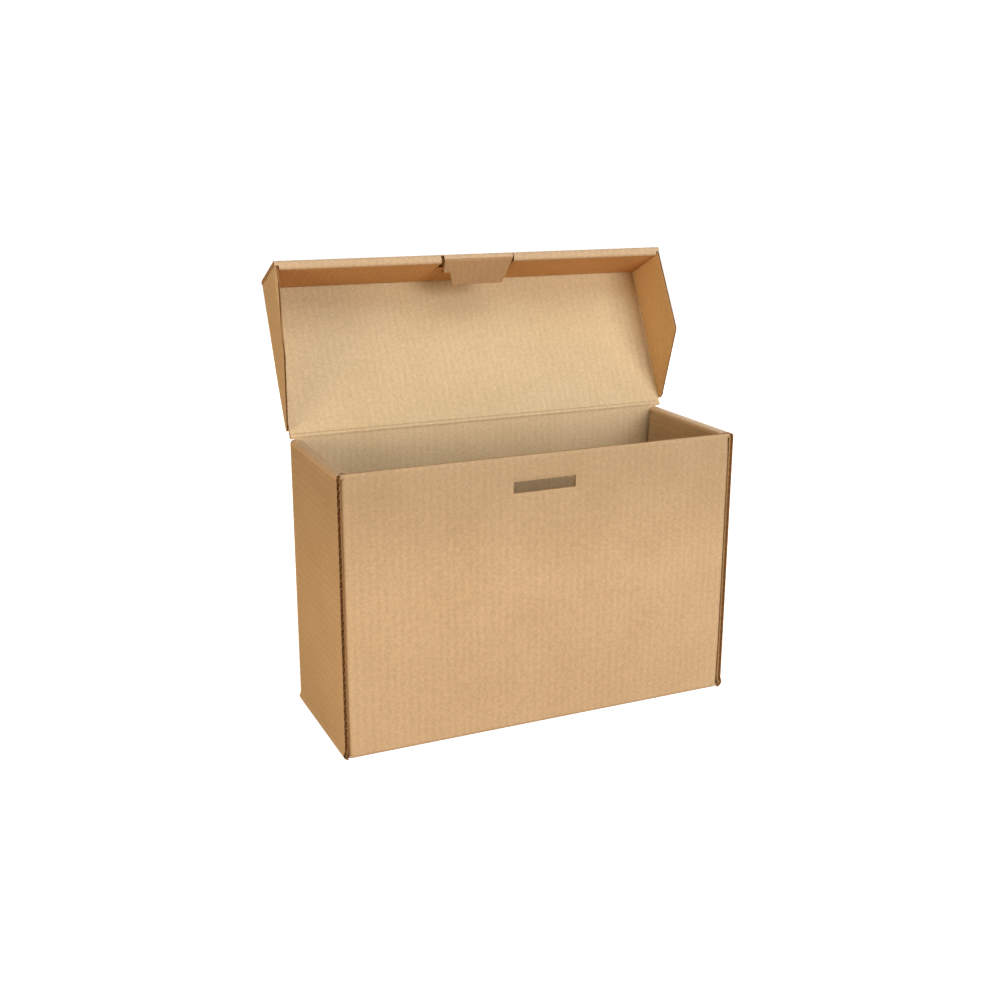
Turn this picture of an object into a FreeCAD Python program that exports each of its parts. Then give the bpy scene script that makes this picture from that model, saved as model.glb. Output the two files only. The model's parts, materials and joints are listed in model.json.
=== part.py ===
"""Archival box: a die-cut corrugated board file box with a hinged tray lid.

One blank of board is scored and folded up, so every sub-part here is one
panel, flap or rolled edge of that blank, made as a slab of board thickness.
The outside length runs along X and the depth along Y, the front is towards -Y
and +Z is up.  The origin is the centre of the underside.  The lid stands open
at lid_open_angle, and its panels are drawn closed in a frame on the hinge
axis, then turned up together.
"""

import FreeCAD, Part
import math
import os
from types import SimpleNamespace

import Sketcher

doc = FreeCAD.newDocument("archival_box")

# ---------------------------------------------------------------- driving sizes

DRIVING_SIZES = (
    ("box_length", 330.0, "outside length over the two side walls"),
    ("box_depth", 117.0, "outside depth, front face to back face"),
    ("box_height", 220.0, "height to the top of the rolled side walls"),
    ("board", 3.0, "thickness of the corrugated board"),
    ("layer_gap", 0.3, "air between two layers of board laid face to face"),
    ("fold_radius", 2.5, "outside radius of a scored fold"),
    ("front_drop", 1.5, "front edge below the tops of the side walls"),
    ("dust_flap_gap", 7.0, "space between the free ends of two dust flaps"),
    ("dust_flap_corner", 12.0, "corner cut from the free end of a dust flap"),
    ("inner_wall_play", 0.8, "inner side wall clear of the front panel"),
    ("inner_wall_back_play", 4.0, "inner side wall clear of the back panel"),
    ("foot_length", 24.0, "length of a locking foot under an inner side wall"),
    ("foot_spacing", 56.0, "distance between the middles of the two feet"),
    ("foot_play", 0.4, "locking foot clear of its slot all round"),
    ("slot_length", 52.0, "length of the lock slot in the front panel"),
    ("slot_width", 9.0, "height of the lock slot"),
    ("slot_drop", 21.0, "top of the lock slot below the side wall tops"),
    ("slot_offset", 2.3, "middle of the lock slot left of the middle of the box"),
    ("hinge_play", 0.3, "crease of the lid clear of the panels beside it"),
    ("lid_side_gap", 0.4, "lid flap clear of the side wall when closed"),
    ("lid_front_gap", 3.9, "lid front clear of the front panel when closed"),
    ("lid_wall_height", 46.3, "height of the lid front, over the lid panel"),
    ("ply_gap", 1.4, "space between the two plies of the lid front"),
    ("lid_flap_height", 50.0, "greatest height of a lid flap"),
    ("lid_flap_shoulder", 52.0, "hinge axis to the start of the flap's slant"),
    ("lid_flap_root", 4.5, "hinge axis to the back end of a lid flap"),
    ("lid_open_angle", 115.7, "how far the lid stands open, in degrees"),
    ("tongue_thickness", 1.2, "flap tongue crushed flat between the plies"),
    ("tongue_length", 34.0, "length of a flap tongue"),
    ("tongue_play", 2.8, "tongue clear of the lid panel and the rolled edge"),
    ("tab_root_width", 60.0, "width of the lock tab at its crease"),
    ("tab_shoulder_width", 49.0, "width of the lock tab above its shoulders"),
    ("tab_tip_width", 44.0, "width of the lock tab at its tip"),
    ("tab_shoulder", 7.0, "crease to the lock tab's shoulders"),
    ("tab_reach", 17.5, "crease to the lock tab's tip"),
    ("tab_left_gap", 2.8, "notch at the left end of the lock tab's crease"),
    ("tab_right_gap", 0.8, "cut at the right end of the lock tab's crease"),
    ("tab_tip_gap", 1.0, "cut above the tip of the lock tab"),
    ("tab_spring_angle", 50.0, "how far the lock tab springs out, in degrees"),
)


class Size:
    """A number together with the spreadsheet formula that gives it."""

    def __init__(self, number, formula):
        self.number = float(number)
        self.formula = formula

    def __add__(self, other):
        other = as_size(other)
        total = self.number + other.number
        return Size(total, f"({self.formula} + {other.formula})")

    def __sub__(self, other):
        other = as_size(other)
        rest = self.number - other.number
        return Size(rest, f"({self.formula} - {other.formula})")

    def __mul__(self, factor):
        return Size(self.number * factor, f"({self.formula} * {factor})")

    def __truediv__(self, divisor):
        return Size(self.number / divisor, f"({self.formula} / {divisor})")

    def __neg__(self):
        return self * -1


def as_size(value):
    return value if isinstance(value, Size) else Size(value, str(value))


def make_sheet():
    """Write the driving sizes into the spreadsheet and hand them back."""
    sheet = doc.addObject("Spreadsheet::Sheet", "Sizes")
    sizes = {}
    for row, (alias, value, meaning) in enumerate(DRIVING_SIZES, start=1):
        sheet.set(f"A{row}", meaning)
        sheet.set(f"B{row}", str(value))
        sheet.setAlias(f"B{row}", alias)
        sizes[alias] = Size(value, f"Sizes.{alias}")
    doc.recompute()
    return SimpleNamespace(**sizes)


size = make_sheet()
ZERO = as_size(0)

# ---------------------------------------------------------------- derived places

half_length = size.box_length / 2
half_depth = size.box_depth / 2
half_board = size.board / 2

# A side wall is three layers: outer wall, dust flaps, inner wall.
layer = size.board + size.layer_gap
wall_radius = (size.board * 3 + size.layer_gap * 2) / 2
roll_height = size.box_height - wall_radius
flap_half = half_length - layer
inner_wall_face = half_length - wall_radius * 2

# The lid turns about the middle of its crease, over the back panel.
hinge_reach = half_board + size.hinge_play
hinge_y = half_depth - half_board
hinge_z = size.box_height + hinge_reach

# Lid sizes, in the frame on the hinge axis with the lid closed.
lid_inner_half = half_length + size.lid_side_gap
lid_outer_half = lid_inner_half + size.board
ply_half = lid_inner_half - size.layer_gap
lid_wall = size.board * 2 + size.ply_gap
front_radius = lid_wall / 2
lid_reach = size.box_depth - half_board + size.lid_front_gap + lid_wall
lid_free_edge = half_board - size.lid_wall_height
roll_z = lid_free_edge + front_radius
inner_ply_y = -lid_reach + lid_wall - size.board
tongue_y = -lid_reach + size.board + (size.ply_gap - size.tongue_thickness) / 2
flap_front_y = tongue_y + size.tongue_thickness
tab_y = inner_ply_y + half_board


# ---------------------------------------------------------------- building tools


def direction(point, centre):
    """The angle at which a point lies as seen from the centre, in radians."""
    return math.atan2(point.y - centre.y, point.x - centre.x)


def add_edge(sketch, start, finish, bend):
    """Draw one edge of an outline; gives its number and its two end numbers."""
    if bend is None:
        return sketch.addGeometry(Part.LineSegment(start, finish), False), 1, 2
    centre_x, centre_y, clockwise = bend
    centre = FreeCAD.Vector(centre_x.number, centre_y.number, 0)
    circle = Part.Circle(centre, FreeCAD.Vector(0, 0, 1), (start - centre).Length)
    ends = [direction(start, centre), direction(finish, centre)]
    if clockwise:
        ends.reverse()
    edge = sketch.addGeometry(Part.ArcOfCircle(circle, *ends), False)
    hold(sketch, "DistanceY", edge, 3, centre_y)
    return (edge, 2, 1) if clockwise else (edge, 1, 2)


def hold(sketch, kind, edge, end, place):
    """Fix one coordinate of a point of the sketch to a formula."""
    rule = Sketcher.Constraint(kind, edge, end, place.number)
    number = sketch.addConstraint(rule)
    sketch.setExpression(f"Constraints[{number}]", place.formula)


def draw_outline(sketch, corners, bends=None):
    """A closed outline through the corners, with every corner held by formulas.

    bends gives, for an edge that is an arc, its centre and if it is clockwise.
    """
    bends = bends or {}
    points = [FreeCAD.Vector(x.number, y.number, 0) for x, y in corners]
    edges = []
    for index, start in enumerate(points):
        finish = points[(index + 1) % len(points)]
        edges.append(add_edge(sketch, start, finish, bends.get(index)))
    for index, (edge, first, _) in enumerate(edges):
        before, _, last = edges[index - 1]
        sketch.addConstraint(
            Sketcher.Constraint("Coincident", before, last, edge, first)
        )
        hold(sketch, "DistanceX", edge, first, corners[index][0])
        hold(sketch, "DistanceY", edge, first, corners[index][1])


def new_sketch(body, name, plane, start):
    """A sketch on one of the body's own planes, moved along the plane's axis."""
    sketch = body.newObject("Sketcher::SketchObject", name)
    planes = {feature.Role: feature for feature in body.Origin.OriginFeatures}
    sketch.AttachmentSupport = [(planes[plane], "")]
    sketch.MapMode = "FlatFace"
    along = -start if plane == "XZ_Plane" else start
    sketch.AttachmentOffset = FreeCAD.Placement(
        FreeCAD.Vector(0, 0, along.number), FreeCAD.Rotation()
    )
    sketch.setExpression("AttachmentOffset.Base.z", along.formula)
    return sketch


def make_panel(label, plane, outline, start, thickness, bends=None):
    """A body padded from one outline, towards the positive axis of the plane."""
    body = doc.addObject("PartDesign::Body", label)
    body.Label = label
    sketch = new_sketch(body, f"{label}_outline", plane, start)
    draw_outline(sketch, outline, bends)
    pad = body.newObject("PartDesign::Pad", f"{label}_pad")
    pad.Profile = sketch
    pad.Length = thickness.number
    pad.setExpression("Length", thickness.formula)
    pad.Reversed = plane == "XZ_Plane"
    doc.recompute()
    return body


def cut_through(body, name, plane, outlines):
    """Cut outlines right through the body, and check that they cut."""
    before = body.Shape.Volume
    sketch = new_sketch(body, f"{name}_outline", plane, ZERO)
    for outline in outlines:
        draw_outline(sketch, outline)
    pocket = body.newObject("PartDesign::Pocket", name)
    pocket.Profile = sketch
    pocket.SideType = "Symmetric"
    pocket.Type = "ThroughAll"
    doc.recompute()
    if not body.Shape.Volume < before - 1:
        raise RuntimeError(f"{name} cuts nothing from {body.Label}")


def round_edges(body, name, chosen, radius):
    """Round the edges whose middle passes the test `chosen`."""
    base = body.Tip
    names = [
        f"Edge{number}"
        for number, edge in enumerate(base.Shape.Edges, start=1)
        if chosen(edge.CenterOfMass)
    ]
    if not names:
        raise RuntimeError(f"{name} finds no edge on {body.Label}")
    fillet = body.newObject("PartDesign::Fillet", name)
    fillet.Base = (base, names)
    fillet.Radius = radius.number
    fillet.setExpression("Radius", radius.formula)
    doc.recompute()


def near(value, place):
    return abs(value - place.number) < 0.01


def rectangle(low_x, high_x, low_y, high_y):
    return [(low_x, low_y), (high_x, low_y), (high_x, high_y), (low_x, high_y)]


def half_ring(centre_x, centre_y, outer, below):
    """Outline and bends of half a tube of board, above or below its centre."""
    inner = outer - size.board
    corners = [
        (centre_x + outer, centre_y),
        (centre_x - outer, centre_y),
        (centre_x - inner, centre_y),
        (centre_x + inner, centre_y),
    ]
    bends = {0: (centre_x, centre_y, below), 2: (centre_x, centre_y, not below)}
    return corners, bends


def turn_with_lid(body):
    """Carry a body drawn in the closed hinge frame to the open lid."""
    place_turned(body, hinge_y, hinge_z, size.lid_open_angle)


def place_turned(body, place_y, place_z, angle):
    body.Placement = FreeCAD.Placement(
        FreeCAD.Vector(0, place_y.number, place_z.number),
        FreeCAD.Rotation(FreeCAD.Vector(-1, 0, 0), angle.number),
    )
    body.setExpression("Placement.Base.y", place_y.formula)
    body.setExpression("Placement.Base.z", place_z.formula)
    body.setExpression("Placement.Rotation.Angle", angle.formula)


# ---------------------------------------------------------------- the box


def make_bottom():
    """Floor of the box, with slots that hold the inner walls' feet."""
    body = make_panel(
        "bottom_panel",
        "XY_Plane",
        rectangle(
            size.board - half_length,
            half_length - size.board,
            size.board - half_depth,
            half_depth - size.board,
        ),
        ZERO,
        size.board,
    )
    near_edge = inner_wall_face - size.foot_play
    far_edge = inner_wall_face + size.board + size.foot_play
    half_slot = size.foot_length / 2 + size.foot_play
    slots = []
    for low_x, high_x in ((near_edge, far_edge), (-far_edge, -near_edge)):
        for middle in (size.foot_spacing / 2, -(size.foot_spacing / 2)):
            slots.append(
                rectangle(low_x, high_x, middle - half_slot, middle + half_slot)
            )
    cut_through(body, "foot_slots", "XY_Plane", slots)


def make_upright_panel(label, end, top):
    """Front or back panel, rounded where it folds from floor and dust flaps."""
    outer_face = half_depth * end
    start = half_depth - size.board if end > 0 else -half_depth
    body = make_panel(
        label,
        "XZ_Plane",
        rectangle(-flap_half, flap_half, ZERO, top),
        start,
        size.board,
    )

    def folded(middle):
        low = near(middle.z, ZERO)
        upright = near(abs(middle.x), flap_half)
        return near(middle.y, outer_face) and (low or upright)

    round_edges(body, f"{label}_folds", folded, size.fold_radius)
    return body


def make_front():
    edge = size.box_height - size.front_drop
    body = make_upright_panel("front_panel", -1, edge)
    top = size.box_height - size.slot_drop
    left = -size.slot_offset - size.slot_length / 2
    slot = rectangle(left, left + size.slot_length, top - size.slot_width, top)
    cut_through(body, "lock_slot", "XZ_Plane", [slot])


def make_dust_flap(label, side, end):
    """Flap from the front or back panel, held inside a side wall."""
    inside = half_depth - size.board
    tip = size.dust_flap_gap / 2
    cut = tip + size.dust_flap_corner
    low = layer
    high = roll_height - size.layer_gap
    corners = [
        (inside * end, low),
        (inside * end, high),
        (cut * end, high),
        (tip * end, high - size.dust_flap_corner),
        (tip * end, low + size.dust_flap_corner),
        (cut * end, low),
    ]
    start = flap_half - size.board if side > 0 else -flap_half
    make_panel(label, "YZ_Plane", corners, start, size.board)


def make_side_wall(name, side):
    """Outer wall, rolled top edge and inner wall of one end of the box.

    The rolled edge fits between the front and back panels, and the outer wall
    reaches up past its ends in a small ear at each corner.
    """
    ear_top = size.box_height - size.front_drop
    ear_side = half_depth - size.board
    outer = make_panel(
        f"{name}_side_outer_wall",
        "YZ_Plane",
        [
            (-half_depth, ZERO),
            (half_depth, ZERO),
            (half_depth, ear_top),
            (ear_side, ear_top),
            (ear_side, roll_height),
            (-ear_side, roll_height),
            (-ear_side, ear_top),
            (-half_depth, ear_top),
        ],
        half_length - size.board if side > 0 else -half_length,
        size.board,
    )
    round_edges(
        outer,
        f"{name}_side_fold",
        lambda middle: near(middle.z, ZERO) and near(middle.x, half_length * side),
        size.fold_radius,
    )
    ring, bends = half_ring(
        (half_length - wall_radius) * side, roll_height, wall_radius, False
    )
    make_panel(
        f"{name}_side_rolled_edge",
        "XZ_Plane",
        ring,
        size.layer_gap - ear_side,
        (ear_side - size.layer_gap) * 2,
        bends,
    )
    inner_start = inner_wall_face if side > 0 else -(inner_wall_face + size.board)
    front = size.board + size.inner_wall_play - half_depth
    back = half_depth - size.board - size.inner_wall_back_play
    low = layer
    foot_low = size.layer_gap
    corners = [(front, roll_height), (front, low)]
    for middle in (-(size.foot_spacing / 2), size.foot_spacing / 2):
        half_foot = size.foot_length / 2
        corners += [
            (middle - half_foot, low),
            (middle - half_foot, foot_low),
            (middle + half_foot, foot_low),
            (middle + half_foot, low),
        ]
    corners += [(back, low), (back, roll_height)]
    make_panel(
        f"{name}_side_inner_wall", "YZ_Plane", corners, inner_start, size.board
    )


def make_hinge_crease():
    """The crushed, rounded strip of board that the lid bends on."""
    body = doc.addObject("PartDesign::Body", "lid_hinge_crease")
    body.Label = "lid_hinge_crease"
    sketch = new_sketch(body, "lid_hinge_crease_outline", "YZ_Plane", -flap_half)
    middle = FreeCAD.Vector(hinge_y.number, hinge_z.number, 0)
    circle = Part.Circle(middle, FreeCAD.Vector(0, 0, 1), half_board.number)
    edge = sketch.addGeometry(circle, False)
    hold(sketch, "DistanceX", edge, 3, hinge_y)
    hold(sketch, "DistanceY", edge, 3, hinge_z)
    rule = Sketcher.Constraint("Radius", edge, half_board.number)
    number = sketch.addConstraint(rule)
    sketch.setExpression(f"Constraints[{number}]", half_board.formula)
    pad = body.newObject("PartDesign::Pad", "lid_hinge_crease_pad")
    pad.Profile = sketch
    pad.Length = flap_half.number * 2
    pad.setExpression("Length", (flap_half * 2).formula)
    doc.recompute()


# ---------------------------------------------------------------- the lid


def make_lid_panel():
    body = make_panel(
        "lid_panel",
        "XY_Plane",
        rectangle(
            -lid_inner_half, lid_inner_half, size.board - lid_reach, -hinge_reach
        ),
        -half_board,
        size.board,
    )
    turn_with_lid(body)


def make_lid_front():
    """Outer ply, rolled free edge and inner ply of the lid's front wall."""
    outer = make_panel(
        "lid_front_outer_ply",
        "XZ_Plane",
        rectangle(-lid_outer_half, lid_outer_half, roll_z, half_board),
        -lid_reach,
        size.board,
    )
    round_edges(
        outer,
        "lid_front_fold",
        lambda middle: near(middle.y, -lid_reach) and near(middle.z, half_board),
        size.fold_radius,
    )
    turn_with_lid(outer)

    ring, bends = half_ring(front_radius - lid_reach, roll_z, front_radius, True)
    roll = make_panel(
        "lid_front_rolled_edge", "YZ_Plane", ring, -ply_half, ply_half * 2, bends
    )
    half_root = size.tab_root_width / 2
    left = -half_root - size.tab_left_gap
    right = half_root + size.tab_right_gap
    slit_y = size.fold_radius / 2 - lid_reach
    gap_y = tab_y - hinge_reach
    clear_y = lid_wall - lid_reach + size.board
    tab_gap = [
        (left, clear_y),
        (left, slit_y),
        (-half_root, slit_y),
        (-half_root, gap_y),
        (half_root, gap_y),
        (half_root, slit_y),
        (right, slit_y),
        (right, clear_y),
    ]
    cut_through(roll, "lock_tab_gap", "XY_Plane", [tab_gap])
    turn_with_lid(roll)

    high = -half_board - size.layer_gap
    shoulder_z = roll_z + size.tab_shoulder + size.tab_tip_gap
    tip_z = roll_z + size.tab_reach + size.tab_tip_gap
    half_shoulder = size.tab_shoulder_width / 2
    half_tip = size.tab_tip_width / 2
    inner = make_panel(
        "lid_front_inner_ply",
        "XZ_Plane",
        [
            (-ply_half, roll_z),
            (left, roll_z),
            (left, shoulder_z),
            (-half_shoulder - size.tab_left_gap, shoulder_z),
            (-half_tip - size.tab_left_gap, tip_z),
            (half_tip + size.tab_right_gap, tip_z),
            (half_shoulder + size.tab_right_gap, shoulder_z),
            (right, shoulder_z),
            (right, roll_z),
            (ply_half, roll_z),
            (ply_half, high),
            (-ply_half, high),
        ],
        inner_ply_y,
        size.board,
    )
    turn_with_lid(inner)


def make_lid_flap(name, side):
    """One side flap of the lid and the tongue that the lid front grips."""
    slant = size.lid_flap_height - half_board
    flap = make_panel(
        f"lid_{name}_flap",
        "YZ_Plane",
        [
            (flap_front_y, lid_free_edge),
            (-size.lid_flap_shoulder, -slant),
            (-size.lid_flap_root, -size.lid_flap_root),
            (-size.lid_flap_root, half_board),
            (flap_front_y, half_board),
        ],
        lid_inner_half if side > 0 else -lid_outer_half,
        size.board,
    )
    round_edges(
        flap,
        f"lid_{name}_flap_fold",
        lambda middle: near(middle.z, half_board)
        and near(middle.x, lid_outer_half * side),
        size.fold_radius,
    )
    turn_with_lid(flap)

    tip = lid_outer_half - size.tongue_length
    ends = (tip, lid_outer_half) if side > 0 else (-lid_outer_half, -tip)
    tongue = make_panel(
        f"lid_{name}_flap_tongue",
        "XZ_Plane",
        rectangle(
            *ends,
            roll_z + size.tongue_play,
            -half_board - size.tongue_play,
        ),
        tongue_y,
        size.tongue_thickness,
    )
    turn_with_lid(tongue)


def make_lock_tab():
    """Springy tab on the free edge of the lid front, with a rounded crease."""
    half_root = size.tab_root_width / 2
    half_shoulder = size.tab_shoulder_width / 2
    half_tip = size.tab_tip_width / 2
    body = make_panel(
        "lock_tab",
        "XZ_Plane",
        [
            (-half_root, -half_board),
            (half_root, -half_board),
            (half_root, size.tab_shoulder),
            (half_shoulder, size.tab_shoulder),
            (half_tip, size.tab_reach),
            (-half_tip, size.tab_reach),
            (-half_shoulder, size.tab_shoulder),
            (-half_root, size.tab_shoulder),
        ],
        -half_board,
        size.board,
    )
    root_radius = half_board * 0.95
    round_edges(
        body,
        "lock_tab_crease",
        lambda middle: near(middle.z, -half_board) and near(middle.x, ZERO),
        root_radius,
    )
    # The crease lies tab_y and roll_z from the hinge axis in the closed lid.
    angle = size.lid_open_angle
    turn = math.radians(angle.number)
    cosine = Size(math.cos(turn), f"cos({angle.formula} * 1 deg)")
    sine = Size(math.sin(turn), f"sin({angle.formula} * 1 deg)")
    place_y = hinge_y + product(cosine, tab_y) + product(sine, roll_z)
    place_z = hinge_z - product(sine, tab_y) + product(cosine, roll_z)
    place_turned(body, place_y, place_z, angle + size.tab_spring_angle)


def product(one, other):
    number = one.number * other.number
    return Size(number, f"({one.formula} * {other.formula})")


# ---------------------------------------------------------------- assembly

SIDES = (("left", -1), ("right", 1))
ENDS = (("front", -1), ("back", 1))

make_bottom()
make_front()
make_upright_panel("back_panel", 1, size.box_height)
for side_name, side_sign in SIDES:
    make_side_wall(side_name, side_sign)
    for end_name, end_sign in ENDS:
        make_dust_flap(f"{end_name}_{side_name}_dust_flap", side_sign, end_sign)
make_hinge_crease()
make_lid_panel()
make_lid_front()
for side_name, side_sign in SIDES:
    make_lid_flap(side_name, side_sign)
make_lock_tab()
doc.recompute()

for item in doc.Objects:
    faults = [state for state in item.State if state in ("Invalid", "Error")]
    if faults:
        raise RuntimeError(f"{item.Label} is left {faults}")

bodies = [item for item in doc.Objects if item.TypeId == "PartDesign::Body"]
for body in bodies:
    if body.Shape.isNull() or not body.Shape.isValid():
        raise RuntimeError(f"{body.Label} has no valid shape")
    if len(body.Shape.Solids) != 1:
        raise RuntimeError(f"{body.Label} is not one solid")

os.makedirs("parts", exist_ok=True)
for body in bodies:
    body.Shape.exportStep(f"parts/{body.Label}.step")
    box = body.Shape.BoundBox
    spans = f"{box.XLength:.1f} x {box.YLength:.1f} x {box.ZLength:.1f} mm"
    print(f"{body.Label}: {spans}, {body.Shape.Volume:.0f} mm3")
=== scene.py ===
# %% [markdown]
# # An archival box of corrugated board
#
# The object is a file box die-cut from one blank of brown corrugated board and
# folded up without glue.  Corrugated board is three papers: an outer liner, an
# inner liner, and between them a paper pressed into waves, the fluting.  What
# makes a box look like board, and not like painted plates, is that its cut
# edges show those waves, its folds are round, and its faces ripple slightly
# where they are glued to the wave tops.
#
# So every piece here is built as the three papers it is made of.  One function
# cuts a flat shape out of a grid, one gives it its three papers, and small
# functions fold or roll it.  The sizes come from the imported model, which is
# loaded first and never changed.

# %% Load the frame
import json
import math

import bmesh
import bpy
import numpy as np
from mathutils import Matrix, Vector

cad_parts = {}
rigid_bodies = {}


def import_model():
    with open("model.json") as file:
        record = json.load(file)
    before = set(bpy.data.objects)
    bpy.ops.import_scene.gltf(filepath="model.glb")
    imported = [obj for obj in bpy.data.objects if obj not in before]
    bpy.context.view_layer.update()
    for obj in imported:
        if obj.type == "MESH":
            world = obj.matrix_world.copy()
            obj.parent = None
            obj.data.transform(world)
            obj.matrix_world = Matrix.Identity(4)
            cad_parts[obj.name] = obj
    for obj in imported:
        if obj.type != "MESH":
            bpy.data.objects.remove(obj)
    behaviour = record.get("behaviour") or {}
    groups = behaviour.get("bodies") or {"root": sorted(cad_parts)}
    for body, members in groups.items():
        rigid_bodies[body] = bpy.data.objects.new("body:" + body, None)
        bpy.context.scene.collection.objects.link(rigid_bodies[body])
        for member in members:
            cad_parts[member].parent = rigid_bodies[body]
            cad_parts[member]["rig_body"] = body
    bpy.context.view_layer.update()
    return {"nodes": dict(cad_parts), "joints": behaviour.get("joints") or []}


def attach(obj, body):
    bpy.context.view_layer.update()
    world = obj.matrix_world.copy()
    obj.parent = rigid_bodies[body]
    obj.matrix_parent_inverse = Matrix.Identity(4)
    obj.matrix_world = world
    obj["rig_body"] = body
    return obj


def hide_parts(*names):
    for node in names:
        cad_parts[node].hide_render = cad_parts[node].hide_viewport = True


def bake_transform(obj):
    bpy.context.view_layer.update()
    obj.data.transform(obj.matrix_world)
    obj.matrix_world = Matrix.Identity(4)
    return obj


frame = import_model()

# %% [markdown]
# ## Camera
#
# The camera comes first, because it decides which details matter.  It stands in
# front of the box, to the left and a little above, so that the left side, the
# front and the inside of the raised lid all show.  It could be aimed with a
# constraint, but a place and three angles are simpler and stay put.

# %% Set up the camera
CAMERA_PLACE = (-0.4182, -0.8898, 0.4453)
CAMERA_DOWN, CAMERA_ROLL, CAMERA_RIGHT = 15.81, 0.18, 24.49
CAMERA_LENS = 46.163

camera_data = bpy.data.cameras.new("camera")
camera_data.lens = CAMERA_LENS
camera = bpy.data.objects.new("camera", camera_data)
turn = (
    Matrix.Rotation(-math.radians(CAMERA_RIGHT), 4, "Z")
    @ Matrix.Rotation(math.radians(90 - CAMERA_DOWN), 4, "X")
    @ Matrix.Rotation(math.radians(CAMERA_ROLL), 4, "Z")
)
camera.matrix_world = Matrix.Translation(CAMERA_PLACE) @ turn
bpy.context.scene.collection.objects.link(camera)
bpy.context.scene.camera = camera
print("camera at", CAMERA_PLACE, "with a lens of", CAMERA_LENS, "mm")

# %% [markdown]
# ## Floor and light
#
# A product shot on a white sheet: one wide, soft lamp in front, a warm one low on
# the left, one above and one behind, so that no side is left dark.  The floor is
# a single large sheet.  It looks white because it glows, but only for the camera,
# and the light that it throws back on the box is warm and weak.  A plain white
# floor would be simpler, but it would wash out the brown inside the lid.  Soft
# lamps keep the dents and ripples of the board readable without hard shadows.

# %% Lay the floor
FLOOR_HALF, FLOOR_DROP = 40.0, 0.0002
FLOOR_BACKLIGHT = 1.02
FLOOR_PALE, FLOOR_DEEP = (0.44, 0.31, 0.18, 1), (0.42, 0.29, 0.16, 1)


def make_material(name):
    """A new material with only a Principled shader and its output."""
    material = bpy.data.materials.new(name)
    material.use_nodes = True
    return material, material.node_tree, material.node_tree.nodes["Principled BSDF"]


def add_node(tree, kind, inputs=None, **settings):
    """Add a node, set its settings, then fill or link its inputs."""
    added = tree.nodes.new(kind)
    for setting, value in settings.items():
        setattr(added, setting, value)
    for socket, value in (inputs or {}).items():
        if isinstance(value, bpy.types.NodeSocket):
            tree.links.new(value, added.inputs[socket])
        else:
            added.inputs[socket].default_value = value
    return added


def make_floor():
    """A large sheet that glows white for the camera and lights the box warmly."""
    corners = [(-1, -1), (1, -1), (1, 1), (-1, 1)]
    mesh = bpy.data.meshes.new("floor")
    points = [(x * FLOOR_HALF, y * FLOOR_HALF, -FLOOR_DROP) for x, y in corners]
    mesh.from_pydata(points, [], [(0, 1, 2, 3)])
    floor = bpy.data.objects.new("floor", mesh)
    bpy.context.scene.collection.objects.link(floor)
    material, tree, shader = make_material("white_paper_floor")
    place = add_node(tree, "ShaderNodeTexCoord").outputs["Object"]
    grain = add_node(tree, "ShaderNodeTexNoise", {"Vector": place, "Scale": 3.0})
    tone = add_node(tree, "ShaderNodeMix", data_type="RGBA")
    tone.inputs[6].default_value, tone.inputs[7].default_value = FLOOR_PALE, FLOOR_DEEP
    tree.links.new(grain.outputs["Fac"], tone.inputs[0])
    tree.links.new(tone.outputs[2], shader.inputs["Base Color"])
    shader.inputs["Roughness"].default_value = 0.9
    shader.inputs["Emission Color"].default_value = (1, 1, 1, 1)
    seen = add_node(tree, "ShaderNodeLightPath").outputs["Is Camera Ray"]
    glow = add_node(tree, "ShaderNodeMapRange", {"Value": seen, "To Max": FLOOR_BACKLIGHT})
    tree.links.new(glow.outputs["Result"], shader.inputs["Emission Strength"])
    mesh.materials.append(material)


make_floor()

# %% Hang the lights


def make_light(name, place, target, size, power, colour):
    """A square soft light at a place, aimed at a target."""
    data = bpy.data.lights.new(name, "AREA")
    data.size = size
    data.energy = power
    data.color = colour
    light = bpy.data.objects.new(name, data)
    light.location = place
    aim = Vector(target) - Vector(place)
    light.rotation_euler = aim.to_track_quat("-Z", "Y").to_euler()
    bpy.context.scene.collection.objects.link(light)


DAYLIGHT, BOUNCED_LIGHT = (0.94, 1.0, 1.12), (1.0, 0.86, 0.70)
middle = (0, 0, 0.18)
make_light("front_soft_box", (0.9, -1.8, 0.76), middle, 1.1, 32, DAYLIGHT)
make_light("left_bounce", (-1.4, -0.5, 0.12), middle, 0.9, 20, BOUNCED_LIGHT)
make_light("top_soft_box", (0.2, -0.9, 2.0), middle, 1.2, 20, DAYLIGHT)
make_light("back_soft_box", (0.9, 1.9, 0.9), middle, 1.1, 34, DAYLIGHT)

# %% Surround the stage
ROOM_GLOW, PAPER_WHITE = 0.13, 1.05
ROOM_TINT = (1.0, 0.78, 0.5, 1)
world = bpy.data.worlds.new("studio")
bpy.context.scene.world = world
world.use_nodes = True
sky = world.node_tree
seen = add_node(sky, "ShaderNodeLightPath").outputs["Is Camera Ray"]
strength = add_node(sky, "ShaderNodeMapRange", {
    "Value": seen, "To Min": ROOM_GLOW, "To Max": PAPER_WHITE,
})
background = sky.nodes["Background"]
tint = add_node(sky, "ShaderNodeMix", data_type="RGBA")
tint.inputs[6].default_value, tint.inputs[7].default_value = ROOM_TINT, (1, 1, 1, 1)
sky.links.new(seen, tint.inputs[0])
sky.links.new(tint.outputs[2], background.inputs["Color"])
sky.links.new(strength.outputs["Result"], background.inputs["Strength"])
bpy.context.scene.view_settings.view_transform = "Standard"

# %% [markdown]
# ## Where each body's pieces are drawn
#
# The box stands square to the world, but the lid stands open at an angle and
# the lock tab at yet another.  Drawing turned pieces directly is awkward, so
# each body gets a home: an origin and three directions in which its panels are
# square.  The joints of the frame say where those homes are, because the lower
# limit of each joint is the square, closed position.

# %% Find the homes of the bodies


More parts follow.
